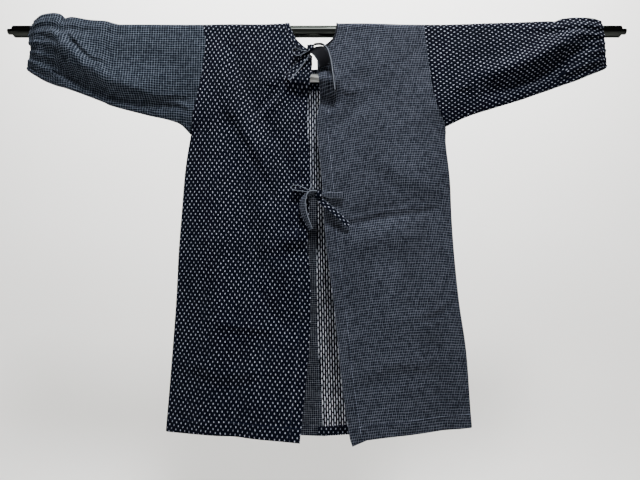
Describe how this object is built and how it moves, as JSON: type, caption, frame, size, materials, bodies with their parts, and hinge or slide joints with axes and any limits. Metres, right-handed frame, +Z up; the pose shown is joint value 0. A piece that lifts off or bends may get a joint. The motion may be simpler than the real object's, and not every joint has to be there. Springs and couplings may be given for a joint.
{
  "type": "kimono coat on a hanging rod",
  "caption": "Patchwork kasuri smock cut like a kimono coat, open down the middle with tied bows and gathered cuffs, hung by its sleeves on a rod.",
  "frame": {"origin": "middle of the hanging rod, on its axis", "axes": "+X along the rod to the viewer's right, +Y away from the side that opens, +Z up"},
  "size_m": [1.387, 0.0808, 0.9294],
  "materials": {
    "dot_kasuri": "matt indigo cotton with staggered pale dots",
    "slub_check": "matt slubby cotton in a small grey and navy check",
    "fine_check": "matt cotton in a fine bluish check",
    "dark_check": "matt cotton in a fine dark check",
    "dash_kasuri": "matt indigo cotton with staggered upright dashes",
    "navy_cotton": "matt plain navy cotton",
    "satin": "bare pale satin",
    "black_metal": "satin black paint"
  },
  "bodies": {
    "root": {"rod": "black_metal", "front_left_panel": "dot_kasuri", "front_right_panel": "slub_check", "back_left_panel": "dark_check", "back_right_panel": "dash_kasuri", "left_sleeve": "fine_check", "right_sleeve": "dot_kasuri", "left_cuff_casing": "fine_check", "right_cuff_casing": "dot_kasuri", "neck_binding_left": "dot_kasuri", "neck_binding_right": "navy_cotton", "neck_binding_back": "dot_kasuri", "neck_facing": "dot_kasuri", "neck_label": "satin", "hem_facing": "dot_kasuri", "upper_tie_knot": "dot_kasuri", "upper_tie_left_loop": "dot_kasuri", "upper_tie_right_loop": "navy_cotton", "upper_tie_left_tail": "dot_kasuri", "upper_tie_right_tail": "navy_cotton", "lower_tie_knot": "slub_check", "lower_tie_left_run": "slub_check", "lower_tie_right_run": "dot_kasuri", "lower_tie_left_loop": "dot_kasuri", "lower_tie_right_loop": "slub_check", "lower_tie_left_tail": "slub_check", "lower_tie_right_tail": "dot_kasuri"}
  },
  "joints": []
}
